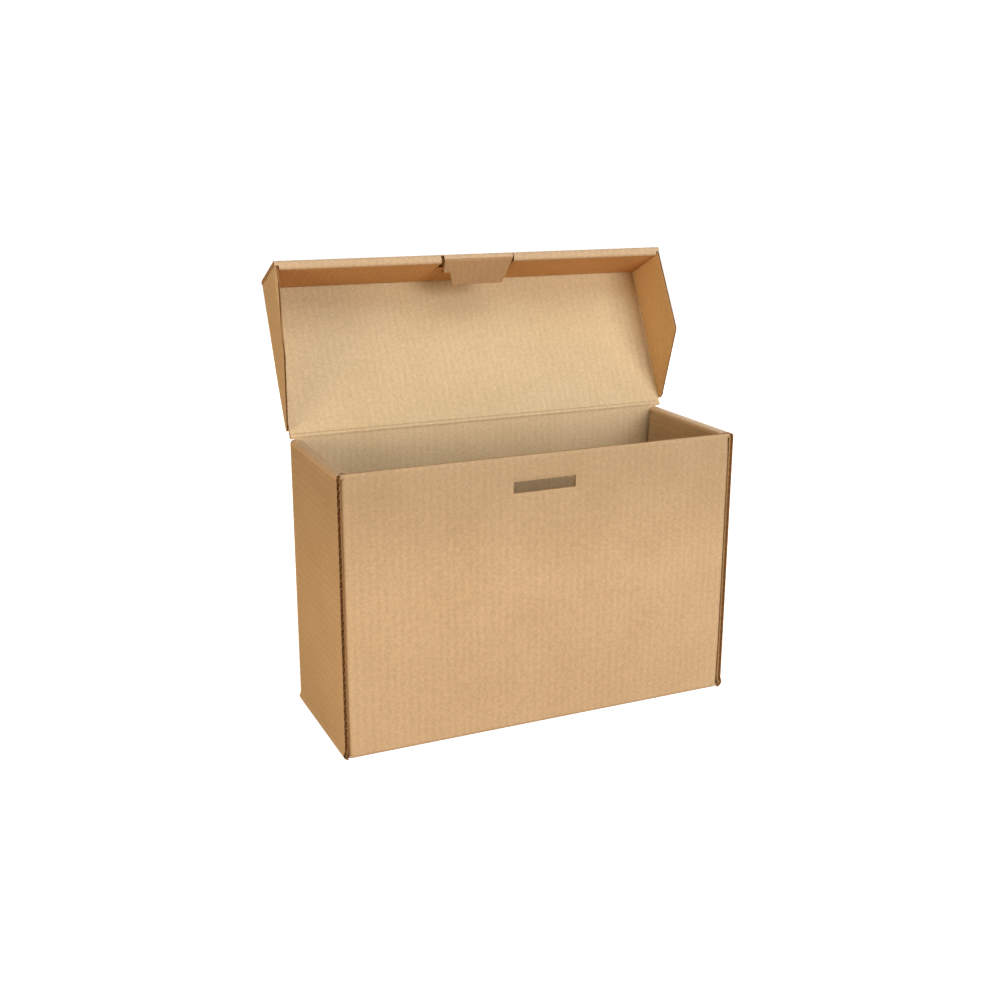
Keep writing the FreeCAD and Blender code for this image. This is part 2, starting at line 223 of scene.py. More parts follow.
class Home:
    """An origin and the three directions in which a body's panels are square."""

    def __init__(self, origin, angle):
        cosine, sine = math.cos(angle), math.sin(angle)
        self.origin = np.array(origin, float)
        self.axes = {
            "X": np.array((1.0, 0.0, 0.0)),
            "Y": np.array((0.0, cosine, -sine)),
            "Z": np.array((0.0, sine, cosine)),
        }

    def direction(self, name):
        return self.axes[name[1]] * (1 if name[0] == "+" else -1)

    def point(self, x, y, z):
        axes = self.axes
        return self.origin + x * axes["X"] + y * axes["Y"] + z * axes["Z"]

    def box(self, *nodes):
        """Lowest and highest corner of CAD nodes, seen from this home."""
        found = np.concatenate([node_points(name) for name in nodes]) - self.origin
        turned = np.stack([found @ self.axes[name] for name in "XYZ"], axis=1)
        return turned.min(0), turned.max(0)


def node_points(name):
    mesh = frame["nodes"][name].data
    flat = np.empty(len(mesh.vertices) * 3)
    mesh.vertices.foreach_get("co", flat)
    return flat.reshape(-1, 3)


joints = {joint["name"]: joint for joint in frame["joints"]}
lid_opening = -math.radians(joints["lid_hinge"]["range_deg"][0])
tab_opening = -math.radians(joints["lock_tab_fold"]["range_deg"][0])
hinge_place = joints["lid_hinge"]["pos_m"]
tab_place = joints["lock_tab_fold"]["pos_m"]
box_home = Home((0, 0, 0), 0)
lid_home = Home(hinge_place, lid_opening)
tab_home = Home(tab_place, lid_opening + tab_opening)
HOMES = {"box": box_home, "lid": lid_home, "tab": tab_home}
print(f"the lid stands open {math.degrees(lid_opening):.1f} degrees")

# %% [markdown]
# ## Reading a panel off the frame
#
# Each CAD node is a plain slab.  Its largest flat face is the outline that the
# die cuts, with its slots, so the outline is read from the node and never typed
# in twice.  A panel is measured in its own flat coordinates: `across` the
# flutes, `along` the flutes and `out`, from the inner face to the outer one.

# %% Measure a panel
FACING, STRAIGHT = 0.999, 1e-9


def face_outline(mesh, to_flat, side):
    """Closed loops round the node's flat faces on one side, and their area."""
    edges, area = {}, 0.0
    for polygon in mesh.polygons:
        corners = [to_flat(mesh.vertices[i].co) for i in polygon.vertices]
        first, second, third = (corners[i] for i in (0, 1, 2))
        normal = np.cross(second - first, third - first)
        normal /= max(np.linalg.norm(normal), 1e-12)
        if normal[2] * side < FACING:
            continue
        area += polygon.area
        keys = [tuple(np.round(corner[:2], 6)) for corner in corners]
        for start, end in zip(keys, keys[1:] + keys[:1]):
            if (end, start) in edges:
                del edges[end, start]
            else:
                edges[start, end] = True
    return join_loops(dict(edges.keys())), area


def join_loops(following):
    """Chain start-to-end pairs into loops, without the points on straight runs."""
    loops = []
    while following:
        start, point = following.popitem()
        loop = [start]
        while point != start:
            loop.append(point)
            point = following.pop(point)
        loops.append(drop_straight(loop))
    return loops


def drop_straight(loop):
    kept = []
    for index, point in enumerate(loop):
        before, after = loop[index - 1], loop[(index + 1) % len(loop)]
        one = (point[0] - before[0], point[1] - before[1])
        two = (after[0] - point[0], after[1] - point[1])
        if abs(one[0] * two[1] - one[1] * two[0]) > STRAIGHT:
            kept.append(point)
    return kept


class Panel:
    """One slab of the frame, laid flat: its outline, thickness and directions."""

    def __init__(self, node, across, along, out):
        self.node = node
        self.body = frame["nodes"][node]["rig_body"]
        home = HOMES[self.body]
        self.origin = home.origin
        self.axes = np.stack([home.direction(name) for name in (across, along, out)])
        spread = (node_points(node) - self.origin) @ self.axes.T
        self.low, self.high = spread.min(0), spread.max(0)
        self.thickness = self.high[2] - self.low[2]
        self.mirrored = np.linalg.det(self.axes) < 0
        mesh = frame["nodes"][node].data
        sides = [face_outline(mesh, self.flat, side) for side in (1, -1)]
        self.loops = max(sides, key=lambda found: found[1])[0]

    def flat(self, point):
        return (np.array(point) - self.origin) @ self.axes.T

    def place(self, across, along, height):
        """Points of the panel in the world, height counted from its inner face."""
        flat = np.stack([across, along, height + self.low[2]], axis=-1)
        return self.origin + flat @ self.axes


# %% [markdown]
# ## Three papers
#
# A grid is laid over the outline, the die's cuts are made in it, and the waste
# is taken away.  What is left is one flat paper.  Each of the three papers is
# that shape again at its own height: two liners that sag a hair between the
# glue lines, and the fluting, which follows a wave.  Modelling the wave only at
# the cut edges would save faces, but a whole wave is simpler and is right
# wherever somebody looks in.

# %% Cut the flat shape
FLUTE_PITCH = 0.00605
FLUTE_STEPS = 8
ROW_LENGTH = 0.040
SAME_PLACE, TOUCHING, FAR_AWAY = 0.00012, 1e-6, 1.0
CRUSH_STEPS, CRUSH_LENGTH, CRUSH_REACH = (0.0008, 0.0018, 0.0032), 0.01, 0.0016


def fine_places(low, high, step, marks):
    """Places from low to high, a step apart, that include every mark."""
    first, last = math.ceil(low / step), math.floor(high / step)
    marks = sorted({round(mark, 7) for mark in marks if low < mark < high})
    marks = [low, *marks, high]
    places = [
        number * step
        for number in range(first, last + 1)
        if min(abs(number * step - mark) for mark in marks) > SAME_PLACE
    ]
    return sorted(places + marks)


def even_places(low, high, step, marks):
    """Places from low to high that divide each run between marks evenly."""
    marks = [low, *sorted({mark for mark in marks if low < mark < high}), high]
    places = [low]
    for start, end in zip(marks, marks[1:]):
        count = max(1, round((end - start) / step))
        places += [start + (end - start) * n / count for n in range(1, count + 1)]
    return places


def steps_along(length, count):
    """Places from 0 to a length, in this many equal steps."""
    return [length * number / count for number in range(count + 1)]


def inside(point, loops):
    """True if a point lies in an odd number of the loops."""
    crossings = 0
    for loop in loops:
        for (x1, y1), (x2, y2) in zip(loop, loop[1:] + loop[:1]):
            if (y1 > point[1]) != (y2 > point[1]):
                crossings += point[0] < x1 + (point[1] - y1) * (x2 - x1) / (y2 - y1)
    return crossings % 2 == 1


def free_edges(loops, joined):
    """The outline's edges, without those on a side where the board goes on."""
    points = np.array([point for loop in loops for point in loop])
    ends = {-1: points.min(0), 1: points.max(0)}
    lines = [(axis, ends[side][axis]) for axis, side in joined]
    edges = []
    for loop in loops:
        for start, end in zip(loop, loop[1:] + loop[:1]):
            on_line = [
                abs(start[axis] - place) + abs(end[axis] - place) < TOUCHING
                for axis, place in lines
            ]
            if not any(on_line):
                edges.append((np.array(start), np.array(end)))
    return edges


def distance_to(edges, flat):
    """How far each flat point is from the nearest of these edges."""
    nearest = np.full(len(flat), FAR_AWAY)
    for start, end in edges:
        run = end - start
        share = np.clip((flat - start) @ run / (run @ run), 0, 1)
        gap = np.linalg.norm(flat - start - share[:, None] * run, axis=1)
        nearest = np.minimum(nearest, gap)
    return nearest


def crush_rows(edges):
    """Rows close beside the longer cuts that cross the flutes."""
    rows = []
    for start, end in edges:
        level = abs(start[1] - end[1]) < TOUCHING
        if level and abs(start[0] - end[0]) > CRUSH_LENGTH:
            rows += [start[1] + side * step for side in (-1, 1) for step in CRUSH_STEPS]
    return rows


def die_cut(loops, extra_rows=()):
    """Cut the loops out of a grid: flat points, faces and the cut edges."""
    points = [point for loop in loops for point in loop]
    across_marks = [point[0] for point in points]
    ends = [point[1] for point in points]
    along_marks = ends + [row for row in extra_rows if min(ends) < row < max(ends)]
    step = FLUTE_PITCH / FLUTE_STEPS
    across = fine_places(min(across_marks), max(across_marks), step, across_marks)
    along = even_places(min(along_marks), max(along_marks), ROW_LENGTH, along_marks)
    sheet = bmesh.new()
    grid = [[sheet.verts.new((x, y, 0)) for y in along] for x in across]
    for left, right in zip(grid, grid[1:]):
        for row in range(len(along) - 1):
            sheet.faces.new((left[row], right[row], right[row + 1], left[row + 1]))
    for loop in loops:
        for start, end in zip(loop, loop[1:] + loop[:1]):
            run = Vector((end[0] - start[0], end[1] - start[1], 0))
            if min(abs(run.x), abs(run.y)) > TOUCHING:
                whole = sheet.verts[:] + sheet.edges[:] + sheet.faces[:]
                bmesh.ops.bisect_plane(
                    sheet, geom=whole, plane_co=(*start, 0), plane_no=(-run.y, run.x, 0)
                )
    waste = [f for f in sheet.faces if not inside(f.calc_center_median(), loops)]
    bmesh.ops.delete(sheet, geom=waste, context="FACES")
    sheet.verts.index_update()
    flat = np.array([vertex.co[:2] for vertex in sheet.verts])
    faces = [[vertex.index for vertex in face.verts] for face in sheet.faces]
    rim = []
    for edge in sheet.edges:
        if len(edge.link_faces) == 1:
            corner = next(c for c in edge.link_faces[0].loops if c.edge == edge)
            rim.append((corner.vert.index, corner.link_loop_next.vert.index))
    sheet.free()
    return flat, faces, rim


# %% Give it its papers
LINER, FLUTING = 0.00030, 0.00022
WASHBOARD = 0.00005
SHARP_ANGLE = math.radians(35)
OUTER_FACE, INNER_FACE, WAVE_FACE, CUT_FACE = range(4)


def wave(across):
    return np.cos(across * 2 * math.pi / FLUTE_PITCH)


def paper_heights(across, thickness):
    """Lower and upper height of each paper, with the faces' material slots."""
    full = np.full_like(across, thickness)
    sag = WASHBOARD * (1 - wave(across))
    lift = WASHBOARD * (1 + wave(across))
    swing = (thickness - 2 * LINER - FLUTING - WASHBOARD) / 2
    slope = -swing * 2 * math.pi / FLUTE_PITCH * np.sin(across * 2 * math.pi / FLUTE_PITCH)
    stretch = np.sqrt(1 + slope**2)
    core = thickness / 2 + swing * wave(across)
    half = FLUTING / 2
    shift = -slope / stretch * half
    return (
        (lift, lift + LINER, 0, (INNER_FACE, WAVE_FACE)),
        (core - half / stretch, core + half / stretch, shift, (WAVE_FACE, WAVE_FACE)),
        (full - sag - LINER, full - sag, 0, (WAVE_FACE, OUTER_FACE)),
    )


def make_board(
    name, panel, cut, place, finishes, thickness=None, squeeze=None, dents=()
):
    """A piece of board: three closed papers in one mesh, placed by a function.

    squeeze is how much of the thickness is left at each flat point, and dents
    are functions that move one face in or out.
    """
    flat, faces, rim = cut
    full = thickness or panel.thickness
    across, along = flat[:, 0], flat[:, 1]
    points, blank, polygons, slots = [], [], [], []
    count = len(flat)
    for low, high, shift, (low_slot, high_slot) in paper_heights(across, full):
        if squeeze is not None:
            low = full / 2 + (low - full / 2) * squeeze
            high = full / 2 + (high - full / 2) * squeeze
        for dent in dents:
            low = low + dent(across, along, low / full)
            high = high + dent(across, along, high / full)
        first = sum(len(block) for block in points)
        points += [
            place(across - shift, along, low),
            place(across + shift, along, high),
        ]
        blank += [np.stack([across, along, low], 1), np.stack([across, along, high], 1)]
        under, over = first, first + count
        polygons += [[under + i for i in reversed(face)] for face in faces]
        polygons += [[over + i for i in face] for face in faces]
        polygons += [[under + i, under + j, over + j, over + i] for i, j in rim]
        slots += [low_slot] * len(faces) + [high_slot] * len(faces)
        slots += [CUT_FACE] * len(rim)
    if panel.mirrored:
        polygons = [polygon[::-1] for polygon in polygons]
    mesh = bpy.data.meshes.new(name)
    mesh.from_pydata(np.concatenate(points), [], polygons)
    mesh.polygons.foreach_set("material_index", slots)
    mesh.polygons.foreach_set("use_smooth", [True] * len(polygons))
    attribute = mesh.attributes.new("blank", "FLOAT_VECTOR", "POINT")
    attribute.data.foreach_set("vector", np.concatenate(blank).ravel())
    mesh.set_sharp_from_angle(angle=SHARP_ANGLE)
    for finish in finishes:
        mesh.materials.append(finish)
    mesh.validate()
    piece = bpy.data.objects.new(name, mesh)
    bpy.context.scene.collection.objects.link(piece)
    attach(piece, panel.body)
    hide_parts(panel.node)
    print(f"{name}: {len(polygons)} faces")
    return piece


# %% [markdown]
# ## Folding and rolling
#
# Board folds along a crushed line.  The inner liner becomes the pivot, and the
# outer liner goes round it in a quarter circle as thick as the board.  At the
# top of the side walls and along the lid's front the board is rolled right
# over, round the plies inside it.  Both are plain functions of where a point
# lies on the flat piece, so the papers and the wave bend along by themselves.

# %% Fold the edges of a panel
SLIT = 0.0003
FOLD_STEPS = 8
DIE_CRUSH, FLAP_CRUSH = 0.35, 0.55


def quarter_round(past, height):
    """A point this far past a fold line: how far out it goes, and its height."""
    reach = np.maximum(past, 0)
    angle = np.minimum(reach / FOLD_LENGTH, 1) * math.pi / 2
    return height * np.sin(angle), height * np.cos(angle)


def folded_place(panel, folds, shape=None):
    """Place a panel whose edges go on round folds: (axis, side, from, to).

    shape says how far the panel stands out of its flat plane at each point.
    """

    def place(across, along, height):
        flat = [np.array(across), np.array(along)]
        rise = np.array(height)
        sides = [flat[0].copy(), flat[1].copy()]
        for axis, side, start, end in folds:
            line = (panel.high if side > 0 else panel.low)[axis] - side * panel.thickness
            other = sides[1 - axis]
            past = (sides[axis] - line) * side
            past[(other < start) | (other > end)] = 0
            out, lowered = quarter_round(past, rise)
            turned = past > 0
            flat[axis] = np.where(turned, line + side * out, flat[axis])
            rise = np.where(turned, lowered, rise)
        if shape:
            rise = rise + shape(flat[0], flat[1])
        return panel.place(flat[0], flat[1], rise)

    return place


board_thickness = Panel("front_panel", "+X", "+Z", "-Y").thickness
FOLD_LENGTH = board_thickness * math.pi / 2
print(f"board {board_thickness * 1000:.2f} mm, fold {FOLD_LENGTH * 1000:.2f} mm")

EVERYWHERE = (-1.0, 1.0)


def stretched(value, low, high, past_low, past_high):
    """Move an outline's outermost coordinate out by what its fold needs."""
    if past_low and abs(value - low) < TOUCHING:
        return value - past_low
    if past_high and abs(value - high) < TOUCHING:
        return value + past_high
    return value


def extend_outline(panel, folds):
    """The outline with every folded edge made longer by its fold."""
    extra = FOLD_LENGTH - panel.thickness
    past = {(axis, side): extra for axis, side, *_ in folds}
    loops = []
    for loop in panel.loops:
        loops.append([
            tuple(
                stretched(
                    point[axis],
                    panel.low[axis],
                    panel.high[axis],
                    past.get((axis, -1)),
                    past.get((axis, 1)),
                )
                for axis in (0, 1)
            )
            for point in loop
        ])
    return loops


def fold_rows(panel, folds):
    """Rows close enough together for the board to bend along its flutes."""
    rows = []
    for axis, side, *_ in folds:
        if axis == 1:
            edge = (panel.high if side > 0 else panel.low)[1]
            line = edge - side * panel.thickness
            rows += [line + step for step in steps_along(side * FOLD_LENGTH, FOLD_STEPS)]
    return rows


def make_panel(
    name, panel, finishes, folds=(), joined=(), crush=DIE_CRUSH, loops=None, shape=None,
    dents=(),
):
    """Cut a panel, crush its cut edges, fold it and give it its three papers.

    joined lists the other sides, as (axis, side), where the board simply goes
    on into the next piece and so isn't crushed.
    """
    folds = [(axis, side, *(span or EVERYWHERE)) for axis, side, span in folds]
    loops = loops or extend_outline(panel, folds)
    edges = free_edges(loops, [*joined, *(fold[:2] for fold in folds)])
    cut = die_cut(loops, fold_rows(panel, folds) + crush_rows(edges))
    near = distance_to(edges, cut[0])
    squeeze = 1 - crush * np.exp(-((near / CRUSH_REACH) ** 2))
    place = folded_place(panel, folds, shape)
    return make_board(
        name, panel, cut, place, finishes, squeeze=squeeze, dents=dents
    )


def bowed(panel, amount):
    """How far a panel that bows by this amount stands out at each flat point."""
    middle, half = (panel.low + panel.high) / 2, (panel.high - panel.low) / 2

    def shape(across, along):
        u = np.clip((across - middle[0]) / half[0], -1, 1)
        v = np.clip((along - middle[1]) / half[1], -1, 1)
        return amount * (1 - u**2) * (1 - v**2)

    return shape


# %% Roll a strip over


def rolled_place(home, centre, start_out, turn_to, axis, inner, power=1.0, squash=1.0):
    """Place a strip that rolls half round a centre, from start_out over turn_to.

    A power below 1 makes the roll squarer, and squash makes it lower.
    """
    first, top, run = (home.direction(d) for d in (start_out, turn_to, axis))
    middle = home.point(*centre)

    def place(turn_angle, run_place, height):
        radius = (inner + height)[:, None]
        cosine = np.sign(np.cos(turn_angle)) * abs(np.cos(turn_angle)) ** power
        sine = np.sign(np.sin(turn_angle)) * abs(np.sin(turn_angle)) ** power
        around = cosine[:, None] * first + squash * sine[:, None] * top
        return middle + radius * around + run_place[:, None] * run

    return place


# %% [markdown]
# ## The colour of kraft board
#
# Kraft paper isn't one brown.  Its tone drifts in soft clouds a few
# centimetres wide, it is speckled with darker and paler fibres, and the flutes
# show through as faint stripes because the liner is pressed where it is glued.
# A picture could be wrapped on, but noise in the piece's own coordinates
# has no seams and any scale.  The clouds follow the object, so they run on
# across a fold, and fibres and stripes follow the flat board, so that they
# turn with the grain.  The outer liner is painted darker towards the top of the
# box, as painted shade.  The rolls, the lid's inner ply, the insides of its
# flaps and the tab get tones of their own, not other papers: the inner ply,
# the flaps' insides and the tab are painted deeper, as painted shade, and the
# rolls' tone paints how the light falls on them.  These painted tones stand in
# for light and shade that a few simple lamps don't give.

# %% Make the papers' materials


def mix_colours(tree, share, one, other, blend="MIX"):
    mixed = add_node(tree, "ShaderNodeMix", data_type="RGBA", blend_type=blend)
    for socket, value in ((0, share), (6, one), (7, other)):
        if isinstance(value, bpy.types.NodeSocket):
            tree.links.new(value, mixed.inputs[socket])
        else:
            mixed.inputs[socket].default_value = value
    return mixed.outputs[2]


def linear(red, green, blue):
    """A colour given in screen values from 0 to 255, as light."""
    parts = [value / 255 for value in (red, green, blue)]
    return tuple(
        v / 12.92 if v <= 0.04045 else ((v + 0.055) / 1.055) ** 2.4 for v in parts
    ) + (1.0,)


def remap(tree, value, low, high, to_low, to_high):
    return add_node(tree, "ShaderNodeMapRange", {
        "Value": value,
        "From Min": low,
        "From Max": high,
        "To Min": to_low,
        "To Max": to_high,
    }).outputs["Result"]


def noise(tree, vector, scale, detail=2.0, roughness=0.5):
    return add_node(tree, "ShaderNodeTexNoise", {
        "Vector": vector, "Scale": scale, "Detail": detail, "Roughness": roughness,
    }).outputs["Fac"]


def scaled(tree, vector, scale):
    return add_node(
        tree, "ShaderNodeVectorMath", {0: vector, 1: scale}, operation="MULTIPLY"
    ).outputs[0]


box_top = box_home.box("back_panel")[1][2]
# Painted shade: over this band of heights the outer liner darkens to this share of its
# colour, and it stays so up to the top of the box.
TOP_SHADE_BAND, TOP_SHADE_TONE = (0.12, 0.20), 0.80
CLOUD_SCALE, MOTTLE_SCALE = 22.0, 430.0
FIBRE_SCALE, SPECK_SCALE = (420.0, 1900.0, 420.0), (900.0, 1500.0, 900.0)
SPECK_COLOUR = (96, 66, 38)
GRAIN_DEPTH, GRAIN_STRENGTH, SHEEN, ROUGH_SPREAD = 0.00012, 0.55, 0.25, 0.05
CLOUD_RANGE, MOTTLE_RANGE = (0.3, 0.7, 0.25, 0.65), (0.35, 0.65, 0.92, 1.07)
FIBRE_RANGE, SPECK_RANGE = (0.3, 0.7, 0.93, 1.06), (0.68, 0.76)


def kraft_paper(name, pale, deep, stripes, speckle, roughness, top_shade=1.0):
    """Kraft liner: clouds, mottle, fibres, specks, the flutes' stripes, and painted
    shade that can darken it towards the top of the box.
    """
    material, tree, shader = make_material(name)
    place = add_node(tree, "ShaderNodeTexCoord").outputs["Object"]
    blank = add_node(tree, "ShaderNodeAttribute", attribute_name="blank")
    blank = blank.outputs["Vector"]
    height = add_node(tree, "ShaderNodeSeparateXYZ", {0: place}).outputs["Z"]
    clouds = noise(tree, place, CLOUD_SCALE)
    mottle = noise(tree, place, MOTTLE_SCALE, 3.0, 0.6)
    fibres = noise(tree, scaled(tree, blank, FIBRE_SCALE), 1.0, 3.0, 0.65)
    specks = noise(tree, scaled(tree, blank, SPECK_SCALE), 1.0, 1.0)
    across = add_node(tree, "ShaderNodeSeparateXYZ", {0: blank}).outputs["X"]
    turns = add_node(
        tree, "ShaderNodeMath", {0: across, 1: 2 * math.pi / FLUTE_PITCH},
        operation="MULTIPLY",
    ).outputs[0]
    ridge = add_node(tree, "ShaderNodeMath", {0: turns}, operation="COSINE").outputs[0]

    tone = remap(tree, clouds, *CLOUD_RANGE)
    colour = mix_colours(tree, tone, pale, deep)
    mottled = remap(tree, mottle, *MOTTLE_RANGE)
    colour = mix_colours(tree, 1.0, colour, mottled, "MULTIPLY")
    fibrous = remap(tree, fibres, *FIBRE_RANGE)
    colour = mix_colours(tree, 1.0, colour, fibrous, "MULTIPLY")
    striped = remap(tree, ridge, -1.0, 1.0, 1.0 - stripes, 1.0 + stripes)
    colour = mix_colours(tree, 1.0, colour, striped, "MULTIPLY")
    # Painted shade: the colour darkens towards the top of the box, and not above it.
    painted_top_shade = remap(tree, height, *TOP_SHADE_BAND, 1.0, top_shade)
    above = remap(tree, height, box_top, box_top + 0.001, 0.0, 1.0)
    painted_top_shade = mix_colours(tree, above, painted_top_shade, (1, 1, 1, 1))
    colour = mix_colours(tree, 1.0, colour, painted_top_shade, "MULTIPLY")
    speck = remap(tree, specks, *SPECK_RANGE, 0.0, speckle)
    colour = mix_colours(tree, speck, colour, linear(*SPECK_COLOUR))
    tree.links.new(colour, shader.inputs["Base Color"])

    low, high = roughness - ROUGH_SPREAD, roughness + ROUGH_SPREAD
    rough = remap(tree, mottle, 0.3, 0.7, low, high)
    tree.links.new(rough, shader.inputs["Roughness"])
    grain = add_node(tree, "ShaderNodeMath", {0: fibres, 1: mottle}, operation="ADD")
    bump = add_node(tree, "ShaderNodeBump", {
        "Height": grain.outputs[0], "Distance": GRAIN_DEPTH, "Strength": GRAIN_STRENGTH,
    })
    tree.links.new(bump.outputs["Normal"], shader.inputs["Normal"])
    shader.inputs["Specular IOR Level"].default_value = SHEEN
    return material


# The outer liner carries the painted shade towards the top of the box.
outer_liner = kraft_paper(
    "kraft_outer_liner", linear(206, 173, 130), linear(193, 159, 115), 0.022, 0.14, 0.78,
    TOP_SHADE_TONE,
)
inner_liner = kraft_paper(
    "kraft_inner_liner", linear(208, 180, 138), linear(197, 169, 124), 0.02, 0.10, 0.82
)
fluting_paper = kraft_paper(
    "fluting_paper", linear(190, 146, 98), linear(166, 122, 78), 0.0, 0.2, 0.9
)
cut_paper = kraft_paper(
    "cut_paper_edge", linear(182, 136, 88), linear(156, 110, 66), 0.0, 0.2, 0.92
)
# Painted shade: both faces of the lock tab are painted deeper than the other liners.
shade_painted_tab_liner = kraft_paper(
    "kraft_tab_liner", linear(172, 134, 92), linear(154, 117, 76), 0.02, 0.2, 0.8
)
# Painted shade: the lid front's inner ply is painted deeper and more orange than the outer
# liner, for the shade and warm bounced light on it.
shade_painted_ply_liner = kraft_paper(
    "kraft_sheltered_liner", linear(205, 151, 93), linear(194, 139, 81), 0.02, 0.1, 0.8
)
# Painted shade: the insides of the lid's flaps are painted deeper than the inner liner.
shade_painted_flap_liner = kraft_paper(
    "kraft_flap_liner", linear(203, 163, 110), linear(191, 150, 96), 0.02, 0.1, 0.8
)
# Painted light and shade: the rolls get a tone of their own, which paints how the light
# falls on them.
light_painted_roll_liner = kraft_paper(
    "kraft_rolled_liner", linear(201, 169, 130), linear(188, 156, 117), 0.02, 0.2, 0.82
)
PAPERS = (outer_liner, inner_liner, fluting_paper, cut_paper)
ROLL_PAPERS = (light_painted_roll_liner, inner_liner, fluting_paper, cut_paper)
INNER_PLY_PAPERS = (shade_painted_ply_liner, inner_liner, fluting_paper, cut_paper)
FLAP_PAPERS = (outer_liner, shade_painted_flap_liner, fluting_paper, cut_paper)
TAB_PAPERS = (shade_painted_tab_liner, shade_painted_tab_liner, fluting_paper, cut_paper)

# %% [markdown]
# ## The box
#
# The front and back carry the dust flaps, and the side walls are doubled over
# them.  Each panel keeps the folds on its own outer side, so the round corners
# belong to the front, the back and the outer side walls, and the flaps and
# inner walls stay flat.  The side walls' front and back edges are left raw, so
# their waves show, while other cuts are crushed shut by the die.  One big mesh
# could hold the whole box, but pieces that match the nodes can be reused.

# %% Bottom, front and back
ALL_ROUND = [(0, -1), (0, 1), (1, -1), (1, 1)]
bottom = Panel("bottom_panel", "+X", "+Y", "-Z")
piece = make_panel("bottom_board", bottom, PAPERS, joined=ALL_ROUND)


FRONT_BOW = 0.0008
SLOT_MARGIN = 0.05


def upright_loops(panel, flap):
    """Outline of the front or back: folded all along its foot, and at its sides
    only where the dust flaps are, with a slit where the two folds part."""
    low, high = panel.low, panel.high
    extra = FOLD_LENGTH - panel.thickness
    flap_low, flap_high = flap.low[1], flap.high[1]
    loops = []
    for loop in panel.loops:
        if len(loop) == 4 and min(p[0] for p in loop) > low[0] + SLOT_MARGIN:
            loops.append(loop)
    edge = high[0]
    fold = edge - panel.thickness
    corners = [
        (edge, low[1] - extra),
        (edge, flap_low - SLIT),
        (fold, flap_low - SLIT),
        (fold, flap_low),
        (edge + extra, flap_low),
        (edge + extra, flap_high),
        (fold, flap_high),
        (fold, flap_high + SLIT),
        (edge, flap_high + SLIT),
        (edge, high[1]),
    ]
    mirrored = [(-x, y) for x, y in reversed(corners)]
    return loops + [corners + mirrored]


def make_upright(name, node, out, flap_node, joined, bow):
    panel = Panel(node, "+X", "+Z", out)
    flap = Panel(flap_node, "+Y", "+Z", "+X")
    span = (flap.low[1] - SLIT / 2, flap.high[1] + SLIT / 2)
    folds = [(1, -1, None), (0, -1, span), (0, 1, span)]
    loops = upright_loops(panel, flap)
    piece = make_panel(
        name, panel, PAPERS, folds, joined, loops=loops, shape=bowed(panel, bow)
    )


make_upright(
    "front_board", "front_panel", "-Y", "front_right_dust_flap", [], FRONT_BOW
)
make_upright(
    "back_board", "back_panel", "+Y", "back_right_dust_flap", [(1, 1)], -FRONT_BOW
)

# %% Dust flaps and side walls
SIDE_BOW = 0.0005
FOOT_RIDGE, RIDGE_PLACE, RIDGE_REACH = 0.0013, 0.0042, 0.0024
WALL_END, WALL_END_SLANT = 0.008, 0.20
WALL_END_TURN = math.tan(math.radians(15))


def rectangle(low_x, high_x, low_y, high_y):
    return [(low_x, low_y), (high_x, low_y), (high_x, high_y), (low_x, high_y)]


def outer_wall_shape(panel):
    """A slight bow, and the ridge that creasing raises just above the foot."""
    bow = bowed(panel, SIDE_BOW)

    def shape(height, depth):
        ridge = np.exp(-(((height - RIDGE_PLACE) / RIDGE_REACH) ** 2))
        return bow(height, depth) + FOOT_RIDGE * ridge

    return shape


def inner_wall_shape(panel, top):
    """The back end of an inner wall stands a little into the box."""

    def shape(height, depth):
        crease = panel.high[1] - WALL_END - WALL_END_SLANT * (top - height)
        return WALL_END_TURN * np.maximum(depth - crease, 0)

    return shape


def make_side_wall(side, out, into):
    outer = Panel(f"{side}_side_outer_wall", "+Z", "+Y", out)
    inner = Panel(f"{side}_side_inner_wall", "+Z", "+Y", into)
    foot = outer.low[0] - (FOLD_LENGTH - outer.thickness)
    top = inner.high[0]
    loop = rectangle(foot, top, outer.low[1], outer.high[1])
    piece = make_panel(
        f"{side}_outer_board", outer, PAPERS, [(0, -1, None)], [(0, 1)], crush=0.0,
        loops=[loop], shape=outer_wall_shape(outer),
    )
    shape = inner_wall_shape(inner, top) if side == "right" else None
    piece = make_panel(
        f"{side}_inner_board", inner, PAPERS, joined=[(0, 1)], shape=shape
    )


for side, out, into in (("left", "-X", "+X"), ("right", "+X", "-X")):
    for end, fold_side in (("front", -1), ("back", 1)):
        node = f"{end}_{side}_dust_flap"
        flap = Panel(node, "+Y", "+Z", out)
        piece = make_panel(f"{node}_board", flap, PAPERS, joined=[(0, fold_side)])
    make_side_wall(side, out, into)

# %% [markdown]
# ### Side rolls
#
# The top of each side wall is one strip bent right over, with square shoulders
# from its two scores.  A bevelled bar would look alike from above, but its ends
# wouldn't show the hollow and the flutes.

# %% Side rolls
SIDE_ROLL_POWER, SIDE_ROLL_SQUASH = 0.62, 0.8


